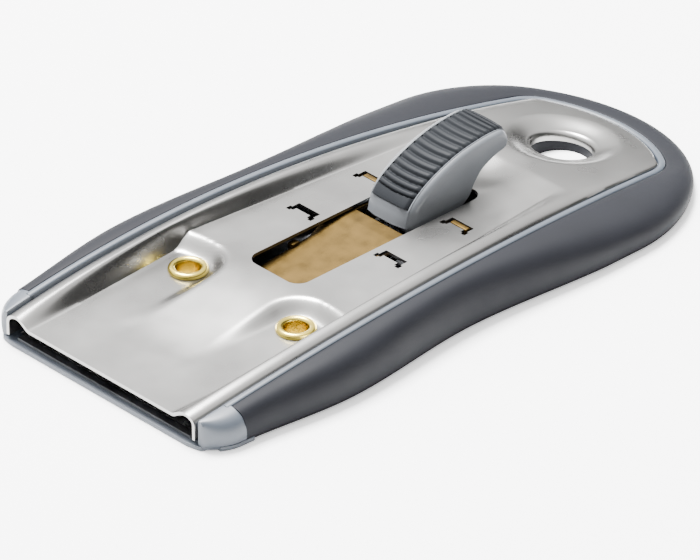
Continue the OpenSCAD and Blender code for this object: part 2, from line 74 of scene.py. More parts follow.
# ---- sizes of the cover ----
SHEET_T = 0.6
CREST_Z = 9.8
CREST_Y = FRONT_Y + 53
CREST_MOUTH_Z = 5.9
TAIL_Z = 2.9
MOUTH_Z = 4.6
DECK_Z = 7.33
RAIL_IN = 2.4
MOUTH_FLAT_W = 35.2
FLAT_SPREAD = 1.8
FLAT_TAPER = 0.1
WIDEST_Y = FRONT_Y + 18
TAIL_HALF = 15.85
TAIL_BULGE = 6
SLOT_FRONT_Y = FRONT_Y + 39.5
SLOT_L = 43.8
SLOT_W = 12.9
SLOT_R = 2.6
WINDOW_Y = FRONT_Y + 58.5
TRAVEL = 15.6
WINDOW_X = 10.7
WINDOW_W = 5.2
WINDOW_BAR = 1.5
WINDOW_LEG = 2.7
EYELET_BORE = 4.2
EYELET_FLANGE = 7.1
HANG_Y = REAR_Y - 19.4
HANG_R = 5.5
DISH_R = 10.5
DISH_DEEP = 1.3
TRIM_GAP = 0.35
TRIM_W = 1.3
TRIM_OUT = TRIM_GAP + TRIM_W
CORNER_R = 2.5
SKIRT_Z = 1.6
REAR_FOLD = 0.3
REAR_FOLD_IN = 0.55
RAIL_LEAN = 0.75
RAMP_Y = FRONT_Y + 13
RAMP_L = 26
CHANNEL_R = 5.2
CHANNEL_RISE = 0.3
CHANNEL_SOFT = 1.6
CHANNEL_WIDEN = 0.5
DIMPLE_Y = SLOT_FRONT_Y + SLOT_L + 6
DIMPLE_HALF = (8, 9)
DIMPLE_DEEP = 1.1
LAND_X = EYELET.x - CHANNEL_R

# ---- sizes of body and grip ----
TAIL_ROUND = 30
GRIP_FRONT = 7.2
GRIP_WAIST = 4.8
GRIP_PALM = 7.0
BUMPER_Y = FRONT_Y + 7
BUMPER_X = 21.7
BELT = 0.45
TUCK = 1.4
PARTING_Z = 0.85
FLOOR_T = 0.8
BARREL_HOLE_R = 2.5
BOSS_R = 3.8
BOSS_Z = 4.2
RIB_X = 15.6
RIB_Z = 6.6
LINER_R = 6.3
LINER_BOSS_R = 7.6

# ---- sizes of strip and lever ----
STRIP_T = 0.7
STRIP_GAP = 0.3
PIN_EAR_X = 6.2
FOOT_Y = FRONT_Y + 65.4
LEVER_HALF = 5.5


# ---- numbers ----
def mix(a, b, t):
    return a + (b - a) * t


def ease(t):
    u = min(max(t, 0.0), 1.0)
    return u * u * (3 - 2 * u)


def bow(d, r):
    return r - math.sqrt(r * r - d * d)


def arc_radius(run, rise):
    return (run * run + rise * rise) / (2 * rise)


FRONT_CROWN_R = arc_radius(CREST_Y - COVER_FRONT_Y, CREST_Z - CREST_MOUTH_Z)
REAR_CROWN_R = arc_radius(COVER_REAR_Y - CREST_Y, CREST_Z - TAIL_Z)
TAIL_R = arc_radius(TAIL_HALF, TAIL_BULGE)
TAPER_R = arc_radius(COVER_REAR_Y - TAIL_BULGE - WIDEST_Y, COVER_W / 2 - TAIL_HALF)


# ---- form of the knife ----
def arch(y):
    """Height of the long arch that rails, trim and tail follow."""
    return CREST_Z - bow(y - CREST_Y, FRONT_CROWN_R if y < CREST_Y else REAR_CROWN_R)


def cover_half(y):
    return COVER_W / 2 - bow(y - WIDEST_Y, TAPER_R)


def flat_half(y):
    """Half the width between the feet of the rails."""
    back = y - FRONT_Y
    turn = SLOT_FRONT_Y - FRONT_Y
    if back < turn:
        return MOUTH_FLAT_W / 2 + FLAT_SPREAD * back / turn
    return MOUTH_FLAT_W / 2 + FLAT_SPREAD - FLAT_TAPER * (back - turn)


def in_channel(x, y):
    """1 in the sunk channel before an eyelet, 0 on the land between the channels."""
    if y < EYELET.y:
        inside = abs(x) - LAND_X
    else:
        aside = abs(x) - EYELET.x
        if aside > 0:
            aside *= CHANNEL_WIDEN
        inside = CHANNEL_R - math.hypot(aside, y - EYELET.y)
    return ease(0.5 + inside / (2 * CHANNEL_SOFT))


def deck_height(x, y):
    """Height of the flat between the rails, with the ramp to the deck and the sunk channels."""
    land = mix(MOUTH_Z, DECK_Z, ease((y - RAMP_Y) / RAMP_L))
    channel = MOUTH_Z + CHANNEL_RISE * ease((y - FRONT_Y) / (EYELET.y - FRONT_Y))
    return mix(land, channel, in_channel(x, y) if y < RAMP_Y + RAMP_L else 0)


def cover_height(x, y):
    """Height of the cover's upper face out to the top of a rail."""
    crown = arch(y)
    low = min(deck_height(x, y), crown)
    foot = flat_half(y)
    top = cover_half(y) - RAIL_IN
    dish = DISH_DEEP * (1 - ease((math.hypot(x, y - HANG_Y) - HANG_R) / (DISH_R - HANG_R)))
    dimple = DIMPLE_DEEP * (1 - ease(math.hypot(x / DIMPLE_HALF[0], (y - DIMPLE_Y) / DIMPLE_HALF[1])))
    climb = max((abs(x) - foot) / (top - foot), 0) ** RAIL_LEAN
    return mix(low, crown, ease(climb)) - dish - dimple


def tail_y(x, end_y):
    return end_y - bow(min(abs(x), TAIL_HALF), TAIL_R)


# ---- working on pieces ----
def choose(*pieces):
    bpy.ops.object.select_all(action="DESELECT")
    for piece in pieces:
        piece.select_set(True)
    bpy.context.view_layer.objects.active = pieces[0]


def edit(piece, select="SELECT", mode="VERT"):
    """Goes into edit mode on the piece, with all or none of it selected."""
    choose(piece)
    bpy.ops.object.mode_set(mode="EDIT")
    bpy.ops.mesh.select_mode(type=mode)
    bpy.ops.mesh.select_all(action=select)


def leave():
    bpy.ops.object.mode_set(mode="OBJECT")


def apply(piece, kind, **settings):
    """Adds a modifier with its settings and applies it."""
    choose(piece)
    modifier = piece.modifiers.new(kind.lower(), kind)
    for key, value in settings.items():
        setattr(modifier, key, value)
    bpy.ops.object.modifier_apply(modifier=modifier.name)


def settle(piece, name, angle=35):
    """Names the piece, puts its place into its mesh and shades it smooth up to an angle."""
    choose(piece)
    bpy.ops.object.transform_apply(location=True, rotation=True, scale=True)
    piece.name = name
    piece.data.name = name
    bpy.ops.object.shade_smooth_by_angle(angle=math.radians(angle))
    return piece


def blank(cols, rows, place):
    """A grid of cols by rows faces, drawn to place(u, w) in millimetres, u and w from -1 to 1."""
    bpy.ops.object.select_all(action="DESELECT")
    bpy.ops.mesh.primitive_grid_add(x_subdivisions=cols, y_subdivisions=rows, size=2)
    piece = bpy.context.object
    for point in piece.data.vertices:
        point.co = Vector(place(point.co.x, point.co.y)) * MM
    return piece


def outwards(piece):
    edit(piece)
    bpy.ops.mesh.remove_doubles(threshold=WELD)
    bpy.ops.mesh.normals_make_consistent(inside=False)
    leave()


def close_tube(piece):
    """Joins the long seam of a wrapped grid, caps its open ends and turns its faces outwards."""
    edit(piece)
    bpy.ops.mesh.remove_doubles(threshold=WELD)
    bpy.ops.mesh.select_all(action="DESELECT")
    bpy.ops.mesh.select_non_manifold()
    bpy.ops.mesh.edge_face_add()
    bpy.ops.mesh.select_all(action="SELECT")
    bpy.ops.mesh.normals_make_consistent(inside=False)
    leave()


def box(low, high, round_by=0.0, segments=2):
    """A box between two corners in millimetres, with rounded edges."""
    low, high = Vector(low), Vector(high)
    bpy.ops.object.select_all(action="DESELECT")
    bpy.ops.mesh.primitive_cube_add(size=1, location=(low + high) / 2 * MM)
    piece = bpy.context.object
    piece.scale = (high - low) * MM
    bpy.ops.object.transform_apply(location=True, rotation=True, scale=True)
    if round_by:
        apply(piece, "BEVEL", width=round_by * MM, segments=segments, limit_method="ANGLE")
    return piece


def drum(centre, radius, depth, vertices=64):
    """An upright cylinder in millimetres."""
    bpy.ops.object.select_all(action="DESELECT")
    bpy.ops.mesh.primitive_cylinder_add(vertices=vertices, radius=radius * MM, depth=depth * MM,
                                        location=Vector(centre) * MM)
    piece = bpy.context.object
    bpy.ops.object.transform_apply(location=True, rotation=True, scale=True)
    return piece


def plate(line, low, high):
    """An upright slab over a closed outline of (x, y) points."""
    bpy.ops.object.select_all(action="DESELECT")
    bpy.ops.mesh.primitive_circle_add(vertices=len(line), radius=1, fill_type="NGON")
    piece = bpy.context.object
    for point, (x, y) in zip(piece.data.vertices, line):
        point.co = Vector((x, y, low)) * MM
    edit(piece)
    bpy.ops.mesh.extrude_region_move(TRANSFORM_OT_translate={"value": (0, 0, (high - low) * MM)})
    bpy.ops.mesh.select_all(action="SELECT")
    bpy.ops.mesh.normals_make_consistent(inside=False)
    leave()
    return piece


def turned(profile, centre, steps=96):
    """A ring turned from a closed profile of (radius, height) points, in millimetres."""
    rows = len(profile)

    def place(u, w):
        k = round((w + 1) / 2 * rows) % rows
        spin = math.pi * (round((u + 1) / 2 * steps) % steps) * 2 / steps
        r, z = profile[k]
        return centre[0] + r * math.cos(spin), centre[1] + r * math.sin(spin), centre[2] + z

    piece = blank(steps, rows, place)
    outwards(piece)
    return piece


def cut(piece, *cutters):
    for cutter in cutters:
        apply(piece, "BOOLEAN", operation="DIFFERENCE", solver="EXACT", object=cutter)
        bpy.data.objects.remove(cutter)


def join(*pieces):
    choose(*pieces)
    bpy.ops.object.join()
    return bpy.context.object


def finish_piece(piece, material, body, slot, *nodes):
    """Gives a finished piece its material and its body, and hides the CAD nodes it stands for; its slot is
    not used.
    """
    piece.data.materials.clear()
    piece.data.materials.append(material)
    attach(piece, body)
    if nodes:
        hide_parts(*nodes)
    return piece


def resample(line, count):
    """The same line with count points at even steps."""
    steps = [0.0]
    for a, b in zip(line, line[1:]):
        steps.append(steps[-1] + math.dist(a, b))
    made = []
    k = 0
    for i in range(count):
        want = steps[-1] * i / (count - 1)
        while k < len(steps) - 2 and steps[k + 1] < want:
            k += 1
        t = (want - steps[k]) / max(steps[k + 1] - steps[k], 1e-9)
        made.append(tuple(mix(p, q, t) for p, q in zip(line[k], line[k + 1])))
    return made


def through(line, t):
    """A point on the smooth curve through the points of line, t from 0 to 1."""
    at = min(max(t, 0.0), 1.0) * (len(line) - 1)
    k = min(int(at), len(line) - 2)
    f = at - k
    before, here, there, after = (line[min(max(k + i, 0), len(line) - 1)] for i in (-1, 0, 1, 2))
    return tuple(0.5 * (2 * b + (c - a) * f + (2 * a - 5 * b + 4 * c - d) * f ** 2
                        + (3 * b - a - 3 * c + d) * f ** 3)
                 for a, b, c, d in zip(before, here, there, after))


# ---- outlines ----
def cover_edge(count=320, from_y=FRONT_Y):
    """The cover's right edge from the mouth round the rear corner, which is rounded, to the middle line."""
    corner_y = tail_y(TAIL_HALF, COVER_REAR_Y)
    side = [(cover_half(y), y) for y in (mix(from_y, corner_y, i / 100) for i in range(100))]
    rear = [(x, tail_y(x, COVER_REAR_Y)) for x in (TAIL_HALF * (1 - i / 40) for i in range(41))]
    line = resample(side + rear, count)
    reach = round(CORNER_R / math.dist(line[0], line[1]))
    made = []
    for i in range(count):
        near = min(reach, i, count - 1 - i)
        span = line[i - near:i + near + 1]
        made.append(tuple(sum(v) / len(span) for v in zip(*span)))
    return made


EDGE = cover_edge()


def grown(more):
    """The cover's edge moved outwards by more."""
    made = []
    for i, (x, y) in enumerate(EDGE):
        ax, ay = EDGE[max(i - 1, 0)]
        bx, by = EDGE[min(i + 1, len(EDGE) - 1)]
        long = math.dist((ax, ay), (bx, by))
        made.append((x + more * (by - ay) / long, y - more * (bx - ax) / long))
    made[-1] = (0, made[-1][1])
    return made


def proud(y):
    """How far the grip stands out past the cover's widest half."""
    s = y - FRONT_Y
    if s < 30:
        return mix(GRIP_WAIST, GRIP_FRONT, ease((s - 4) / 26))
    if s < 60:
        return mix(GRIP_FRONT, GRIP_WAIST, ease((s - 30) / 30))
    return mix(GRIP_WAIST, GRIP_PALM, ease((s - 60) / 34))


def outer_edge(inner):
    """The outer edge of bumper and grip, one point for each point of the inner edge."""
    turn_y = REAR_Y - TAIL_ROUND
    start = max(i for i, p in enumerate(inner) if p[1] < turn_y - 8)
    start_y = inner[start][1]
    start_x = COVER_W / 2 + proud(start_y)
    rear = [(start_x, mix(start_y, turn_y, i / 20)) for i in range(20)]
    rear += [(start_x * math.cos(a), turn_y + TAIL_ROUND * math.sin(a))
             for a in (math.pi * i / 160 for i in range(81))]
    rear = resample(rear, len(inner) - start)
    corner = COVER_W / 2 + proud(BUMPER_Y) - BUMPER_X
    made = []
    for i, (x, y) in enumerate(inner):
        if y < BUMPER_Y:
            down = min((BUMPER_Y - y) / (BUMPER_Y - FRONT_Y), 1)
            made.append((max(BUMPER_X + corner * math.sqrt(1 - down * down), x + 0.02), y))
        elif i <= start:
            made.append((COVER_W / 2 + proud(y), y))
        else:
            made.append(rear[i - start])
    return made


def around(right):
    """A right-hand outline joined to its mirror image, from the mouth round the rear and back."""
    return right + [(-x, y) for x, y in reversed(right[:-1])]


def sweep(inner, outer, section):
    """A band between two edges. section(top, reach) gives its (across, height) points round each place."""
    rings = []
    for (ix, iy), (ox, oy) in zip(inner, outer):
        reach = max(math.dist((ix, iy), (ox, oy)), 0.01)
        ax, ay = (ox - ix) / reach, (oy - iy) / reach
        rings.append([(ix + ax * a, iy + ay * a, z) for a, z in section(arch(iy), reach)])
    rows, cols = len(rings) - 1, len(rings[0])

    def place(u, w):
        return rings[round((w + 1) / 2 * rows)][round((u + 1) / 2 * cols) % cols]

    piece = blank(cols, rows, place)
    close_tube(piece)
    return piece


# ---- pressed cover ----
def roll_height(y):
    """How far a side edge rolls down below the rail's top before it turns upright."""
    return mix(1.7, 0.5, ease((y - FRONT_Y - 82) / 26))


def end_y(x):
    """The cover's rear edge in plan, eased down at the corners."""
    corner_x = TAIL_HALF - CORNER_R
    return tail_y(x, COVER_REAR_Y) - 0.45 * bow(min(max(abs(x) - corner_x, 0), 0.98 * CORNER_R), CORNER_R)


def pressed(x, y):
    """A point of the flat blank, drawn to the upper face of the pressed cover."""
    side = -1 if x < 0 else 1
    top = cover_half(y) - RAIL_IN
    over = abs(x) - top
    fold = REAR_FOLD * max(0, 1 - (end_y(min(abs(x), TAIL_HALF)) - y) / REAR_FOLD_IN) ** 2
    if over <= 0:
        return Vector((x, y, cover_height(x, y) - fold))
    drop = roll_height(y)
    crown = cover_height(side * top, y) - fold
    roll_l = math.pi / 4 * (RAIL_IN + drop)
    if over < roll_l:
        spin = math.pi / 2 * over / roll_l
        return Vector((side * (top + RAIL_IN * math.sin(spin)), y, crown - drop * (1 - math.cos(spin))))
    return Vector((side * (top + RAIL_IN), y, crown - drop - (over - roll_l)))


def press(piece):
    """Forms the flat blank: each point keeps its depth in the sheet, square to the formed face."""
    step = 0.05
    for point in piece.data.vertices:
        x, y, depth = point.co / MM
        along = pressed(x, y + step) - pressed(x, y - step)
        side = pressed(x + step, y) - pressed(x - step, y)
        square = side.cross(along).normalized()
        point.co = (pressed(x, y) + square * depth) * MM


# Shares of the blank's columns out to a rail's foot, to its top and to the end of its roll
FOOT_SHARE, TOP_SHARE, ROLL_SHARE = 0.5625, 0.75, 0.93
# Share of the cover's length that the even rows fill; the fine rows at the rear edge fill the rest
EVEN_SHARE = 0.992


def cover_blank():
    """Flat blank of the cover: the deck, then the strip that rolls over and down each side."""
    half_cols, rows, fine = 64, 224, 10
    even = rows - fine

    def place(u, w):
        row = round((w + 1) / 2 * rows)
        t = EVEN_SHARE * row / even if row <= even else mix(EVEN_SHARE, 1, (row - even) / fine)
        y = mix(COVER_FRONT_Y, COVER_REAR_Y, t)
        top = cover_half(y) - RAIL_IN
        drop = roll_height(y)
        roll_l = math.pi / 4 * (RAIL_IN + drop)
        skirt = max(arch(y) - drop - SKIRT_Z, 0.2)
        foot = flat_half(y)
        share = abs(u)
        plan = top + RAIL_IN
        rolled = (share - TOP_SHARE) / (ROLL_SHARE - TOP_SHARE)
        if share < FOOT_SHARE:
            x = plan = foot * share / FOOT_SHARE
        elif share < TOP_SHARE:
            x = plan = mix(foot, top, (share - FOOT_SHARE) / (TOP_SHARE - FOOT_SHARE))
        elif share < ROLL_SHARE:
            x = top + roll_l * rolled
            plan = top + RAIL_IN * math.sin(math.pi / 2 * rolled)
        else:
            x = top + roll_l + skirt * (share - ROLL_SHARE) / (1 - ROLL_SHARE)
        return math.copysign(x, u), mix(COVER_FRONT_Y, end_y(min(plan, TAIL_HALF)), t), 0

    piece = blank(2 * half_cols, rows, place)
    apply(piece, "SOLIDIFY", thickness=SHEET_T * MM, offset=-1)
    return piece


CHAMFER = 0.1


def flared(piece):
    """Widens a cutter near the sheet's upper face, so that it leaves a small chamfer."""
    edit(piece, "DESELECT", "FACE")
    leave()
    for point in piece.data.vertices:
        point.select = False
    for face in piece.data.polygons:
        face.select = face.normal.z > 0.9
    bpy.ops.object.mode_set(mode="EDIT")
    for lift, grow in ((0, 0), (2 * CHAMFER, 2 * CHAMFER), (2, 0)):
        bpy.ops.mesh.extrude_region_move(TRANSFORM_OT_translate={"value": (0, 0, lift * MM)})
        if grow:
            wide, long = piece.dimensions.x / MM, piece.dimensions.y / MM
            bpy.ops.transform.resize(value=((wide + 2 * grow) / wide, (long + 2 * grow) / long, 1))
    leave()
    return piece


def cutter_box(low_x, high_x, low_y, high_y):
    return box((low_x, low_y, -3), (high_x, high_y, 2))


def slot_cutter():
    piece = cutter_box(-SLOT_W / 2, SLOT_W / 2, SLOT_FRONT_Y, SLOT_FRONT_Y + SLOT_L)
    edit(piece, "DESELECT", "EDGE")
    leave()
    for edge in piece.data.edges:
        a, b = (piece.data.vertices[i].co for i in edge.vertices)
        edge.select = abs(a.z - b.z) > MM
    bpy.ops.object.mode_set(mode="EDIT")
    bpy.ops.mesh.bevel(offset=SLOT_R * MM, segments=12)
    leave()
    return piece


def window_cutters():
    """Cross slit and two legs of each window, around a tongue."""
    leg_w, ear = 0.9, 0.45
    for sx in (-1, 1):
        for y in (WINDOW_Y, WINDOW_Y + TRAVEL):
            low_x = sx * WINDOW_X - WINDOW_W / 2
            high_x = sx * WINDOW_X + WINDOW_W / 2
            yield cutter_box(low_x, high_x, y - WINDOW_BAR, y)
            yield cutter_box(low_x - ear, low_x + leg_w - ear, y - WINDOW_LEG, y - WINDOW_LEG + 1.1)
            yield cutter_box(low_x, low_x + leg_w, y - WINDOW_LEG + 0.4, y - WINDOW_BAR / 2)
            yield cutter_box(high_x - leg_w, high_x, y - WINDOW_LEG + 0.4, y - WINDOW_BAR / 2)
            yield cutter_box(high_x - leg_w + ear, high_x + ear, y - WINDOW_LEG, y - WINDOW_LEG + 1.1)


COLLAR_R = HANG_R + 1.8
LIP_R = 0.9
COLLAR_DEEP = 1.7


def hole_collar():
    """The sheet round the hanging hole: it rolls over a lip and runs down the hole as a collar."""
    steps, rows = 96, 22
    flat = COLLAR_R - HANG_R - LIP_R
    lip = math.pi / 2 * LIP_R
    lean = math.atan((arch(HANG_Y - 1) - arch(HANG_Y + 1)) / 2)
    upright = Vector((0, math.sin(lean), math.cos(lean)))

    def place(u, w):
        spin = math.pi * (round((u + 1) / 2 * steps) % steps) * 2 / steps
        run = (1 - (w + 1) / 2) * (flat + lip + COLLAR_DEEP - LIP_R)
        out = Vector((math.cos(spin), math.sin(spin), 0))
        if run <= flat:
            at = out * (COLLAR_R - run)
            return pressed(at.x, HANG_Y + at.y)
        bend = min((run - flat) / LIP_R, math.pi / 2)
        edge = pressed(out.x * (HANG_R + LIP_R), HANG_Y + out.y * (HANG_R + LIP_R))
        at = edge - out * LIP_R * math.sin(bend) - upright * LIP_R * (1 - math.cos(bend))
        return at - upright * max(run - flat - lip, 0)

    piece = blank(steps, rows, place)
    edit(piece)
    bpy.ops.mesh.remove_doubles(threshold=WELD)
    leave()
    if piece.data.polygons[len(piece.data.polygons) - 1].normal.z < 0:
        edit(piece)
        bpy.ops.mesh.flip_normals()
        leave()
    apply(piece, "SOLIDIFY", thickness=SHEET_T * MM, offset=-1)
    return piece


def make_cover():
    piece = cover_blank()
    holes = [drum((0, HANG_Y, 0), COLLAR_R, 6, 96)]
    holes += [drum((sx * EYELET.x, EYELET.y, 0), 2.4, 6, 48) for sx in (-1, 1)]
    cut(piece, flared(slot_cutter()), *(flared(cutter) for cutter in window_cutters()), *holes)
    press(piece)
    piece = join(piece, hole_collar())
    return settle(piece, "pressed_cover", 40)


# ---- moulded body ----
def trim_section(top, reach):
    """Section of the thin pale trim: upright, with a rounded top."""
    high = top - 0.3
    crown = [(reach * (0.5 - 0.5 * math.cos(a)), high - 0.35 * (1 - math.sin(a)))
             for a in (math.pi * i / 8 for i in range(9))]
    return [(0, 0.2)] + crown + [(reach, 0.2)]


def make_trim():
    inner, outer = grown(TRIM_GAP), grown(TRIM_OUT)
    keep = [i for i, p in enumerate(inner) if p[1] > BUMPER_Y - 0.8]
    inner, outer = [inner[i] for i in keep], [outer[i] for i in keep]
    return settle(sweep(around(inner), around(outer), trim_section), "trim_line", 40)


def grip_section(top, reach):
    """Section of bumper and grip: crowned top, round shoulder, tucked underside with a parting line."""
    high = 0.98 * (top - 0.3)
    belt = BELT * (top - 0.3)
    edge = min(0.25, reach / 4)
    line = [(0, 0.0), (0, high - edge), (0.3 * edge, high - 0.3 * edge)]
    for t in (edge / reach, 0.15, 0.3, 0.45, 0.57, 0.67, 0.75, 0.82, 0.88, 0.93, 0.965, 0.99, 1):
        t = max(t, edge / reach)
        line.append((reach * t, belt + (high - belt) * math.sqrt(1 - t ** 3.2)))
    tuck = min(TUCK, 0.6 * reach)
    for z, deep in ((0.75 * belt, 0), (PARTING_Z + 0.22, 0), (PARTING_Z + 0.1, 0.14), (PARTING_Z - 0.1, 0.14),
                    (PARTING_Z - 0.22, 0), (0.35, 0), (0.1, 0.1), (0, 0.35)):
        z = min(z, 0.9 * belt)
        u = 1 - z / belt
        line.append((reach - tuck * (1 - math.sqrt(max(1 - u * u, 0))) * 0.9 - deep, z))
    return line


def rim_edges(more, front):
    inner = [p for p in grown(more) if p[1] > front]
    return inner, outer_edge(inner)


def split(piece, keep_rear):
    """Cuts bumper from grip along a plane that leans back towards the foot."""
    edit(piece)
    bpy.ops.mesh.bisect(plane_co=(0, (BUMPER_Y + 0.2) * MM, 4 * MM), plane_no=(0, 1, 0.1),
                        use_fill=True, clear_inner=keep_rear, clear_outer=not keep_rear)
    leave()
    return piece


def make_grip():
    inner, outer = rim_edges(TRIM_OUT + 0.04, FRONT_Y + 3)
    piece = split(sweep(around(inner), around(outer), grip_section), True)
    return settle(piece, "soft_overmould", 40)


def lip_section(top, reach):
    """Section of the low lip that runs along the foot of a bumper."""
    high, edge = 0.95, 0.2
    return [(0, 0.02), (0, high), (reach - edge, high), (reach - 0.3 * edge, high - 0.3 * edge),
            (reach, high - edge), (reach, 0.25), (reach - edge, 0.02)]


def make_bumpers():
    inner, outer = rim_edges(TRIM_GAP, FRONT_Y + 0.7)
    front = [i for i, p in enumerate(inner) if p[1] < BUMPER_Y + 6]
    inner, outer = [inner[i] for i in front], [outer[i] for i in front]
    right = split(sweep(inner, outer, grip_section), False)
    left = split(sweep([(-x, y) for x, y in inner], [(-x, y) for x, y in outer], grip_section), False)
    lips = []
    rim = [p for p in outer if FRONT_Y + 2.6 < p[1] < FRONT_Y + 9.6]
    for sx in (-1, 1):
        inside = [(sx * (x - 2.2), y) for x, y in rim]
        outside = [(sx * (x - 0.25), y) for x, y in rim]
        lips.append(sweep(inside, outside, lip_section))
    return settle(join(right, left, *lips), "mouth_bumpers", 40)


def make_floor():
    """Floor of the body with its mouth lip, bosses for the eyelets and the hole, and two guide ribs."""
    right = grown(TRIM_OUT)
    rounded = []
    for x, y in right:
        if y < BUMPER_Y:
            down = (BUMPER_Y - y) / (BUMPER_Y - FRONT_Y)
            x = min(x, BUMPER_X + (COVER_W / 2 + 4.9 - BUMPER_X) * math.sqrt(max(1 - down * down, 0)))
        rounded.append((x, y))
    line = [(-x, y) for x, y in reversed(rounded[:-1])] + rounded
    slab = plate(resample(line + [line[0]], 420)[:-1], 0, FLOOR_T)
    apply(slab, "BEVEL", width=0.2 * MM, segments=2, limit_method="ANGLE", angle_limit=math.radians(50))
    bore = drum((0, HANG_Y, 0), HANG_R + 0.75, 8, 96)
    recesses = [drum((sx * EYELET.x, EYELET.y, -0.55), EYELET_FLANGE / 2 + 0.3, 2) for sx in (-1, 1)]
    barrels = [drum((sx * EYELET.x, EYELET.y, 0), BARREL_HOLE_R, 6, 48) for sx in (-1, 1)]
    cut(slab, bore, *recesses, *barrels)
    parts = [slab]
    for sx in (-1, 1):
        boss = [(BARREL_HOLE_R, FLOOR_T), (BARREL_HOLE_R, BOSS_Z), (BOSS_R, BOSS_Z), (BOSS_R, FLOOR_T)]
        parts.append(turned(boss, (sx * EYELET.x, EYELET.y, 0), 48))
        parts.append(box((sx * RIB_X - 0.6, SLOT_FRONT_Y + 4, FLOOR_T),
                         (sx * RIB_X + 0.6, SLOT_FRONT_Y + SLOT_L, RIB_Z), 0.2))
    low, high = FLOOR_T - 0.1, cover_height(0, HANG_Y) - 3.4
    liner_boss = [(LINER_R, low), (LINER_R, high), (LINER_BOSS_R, high), (LINER_BOSS_R, low)]
    parts.append(turned(liner_boss, (0, HANG_Y, 0), 72))
    return settle(join(*parts), "body_floor", 35)


# ---- eyelets ----
def make_eyelet(sx, name):
    """A brass tubular rivet: round rolled flange above, barrel, flat turned flange below."""
    bore, out, flange = EYELET_BORE / 2, EYELET_BORE / 2 + 0.3, EYELET_FLANGE / 2
    seat = MOUTH_Z + CHANNEL_RISE
    mid = (bore + flange) / 2
    half = (flange - bore) / 2
    roll = [(mid - half * math.cos(a), seat + 0.22 + 0.72 * math.sin(a))
            for a in (math.pi * i / 18 for i in range(19))]
    inside = [(bore, 0.12), (bore, 1.5)]
    outside = [(flange - 0.06, seat + 0.04), (flange - 0.3, seat), (out, seat), (out, 0.5),
               (flange - 0.3, 0.5), (flange - 0.1, 0.42), (flange - 0.1, 0.2), (flange - 0.3, 0.08),
               (bore + 0.3, 0.08)]
    profile = inside + roll + outside
    return settle(turned(profile, (sx * EYELET.x, EYELET.y, 0)), name, 50)


# ---- latch with its hooks ----
def make_latch():
    """Cross plate with two round-topped hooks that stand in the rear pair of windows."""
    hook_w, hook_t = 3.9, 1.1
    hook_y = WINDOW_Y + TRAVEL - 0.15 - hook_t / 2
    top = DECK_Z - 0.05
    low = HOOK_LOW.z
    parts = [box((HOOK_LOW.x, HOOK_LOW.y, low), (HOOK_HIGH.x, HOOK_HIGH.y, low + 0.6), 0.15)]
    for sx in (-1, 1):
        mid = sx * WINDOW_X
        parts.append(box((mid - hook_w / 2, hook_y - hook_t / 2, low + 0.1),
                         (mid + hook_w / 2, hook_y + hook_t / 2, top), 0.22, 3))
    return settle(join(*parts), "latch_hooks", 35)


# ---- carriage strip ----
def make_strip():
    """Formed strip: wide holder over the blade, slope up through the slot, fork round the lever's foot."""
    low, high = STRIP_LOW, DECK_Z - SHEET_T - STRIP_GAP - STRIP_T
    holder_y = FRONT_Y + 28
    side = [(FRONT_Y + 17, low), (holder_y - 1.5, low), (holder_y + 1, low + 0.05), (FOOT_Y - 3, high - 0.12),
            (FOOT_Y + 1, high), (FOOT_Y + 16.6, high)]
    half_w = [(FRONT_Y + 17, 17), (holder_y - 2, 17), (holder_y, 6.4), (FOOT_Y - 12, 6.4), (FOOT_Y - 5, 8),
              (FOOT_Y + 17, 8)]

    def along(line, y):
        """Value of a line of (y, value) points; the strip's width eases between its points."""
        for (ay, a), (by, b) in zip(line, line[1:]):
            if y <= by:
                t = (y - ay) / (by - ay)
                return mix(a, b, ease(t) if line is half_w else t)
        return line[-1][1]

    def place(u, w):
        y = mix(side[0][0], side[-1][0], (w + 1) / 2)
        return u * along(half_w, y), y, along(side, y) + STRIP_T

    piece = blank(32, 200, place)
    apply(piece, "SOLIDIFY", thickness=STRIP_T * MM, offset=-1)
    fork = cutter_box(-PIN_EAR_X, PIN_EAR_X, FOOT_Y - 0.3, FOOT_Y + 30)
    for point in fork.data.vertices:
        point.co.z += 5 * MM
    cut(piece, fork)
    half_t = STRIP_T / 2
    parts = [piece]
    for sx in (-1, 1):
        ear = sx * (PIN_EAR_X + half_t)
        parts.append(box((ear - half_t, PIN.y - 2, PIN.z - 2), (ear + half_t, PIN.y + 2, high + 0.4), 0.2))
        parts.append(turned([(0.02, 1.5), (1.1, 1.5), (1.2, 1.6), (1.2, low + 0.1), (0.02, low + 0.1)],
                            (sx * 12, FRONT_Y + 20.5, 0), 24))
    lug_y = FOOT_Y - 15.5
    lug_z = along(side, lug_y)
    parts.append(box((-7.2, lug_y, lug_z + 0.3), (-5.9, lug_y + 1.8, lug_z + 1.5), 0.25))
    return settle(join(*parts), "carriage_strip", 35)


# ---- thumb lever ----
TOP_LINE = [(0.2, 6.9), (0.8, 8.8), (1.7, 10.6), (4.5, 12.9), (8.6, 15.0), (13.6, 16.7), (18.6, 17.5),
            (22.5, 17.62), (24.1, 17.2), (24.75, 16.1), (24.75, 15.0)]
LOW_LINE = [(0.3, 6.6), (2.2, 5.2), (5.2, 5.2), (9.5, 5.4), (13.0, 6.0), (15.2, 7.4), (16.4, 9.6),
            (18.2, 11.7), (21.2, 13.1), (23.6, 13.7), (24.6, 14.4)]
FOOT_R = 2.6
PAD_HALF = 4.5
PAD_DEEP = 0.8
PAD_START, PAD_END = 0.17, 0.86


def lever_point(t, across, lift):
    """A point of the lever: t along it, across from the middle, lift 0 at the low line and 1 at the top."""
    top, low = through(TOP_LINE, t), through(LOW_LINE, t)
    return Vector((across, FOOT_Y + mix(low[0], top[0], lift), mix(low[1], top[1], lift)))


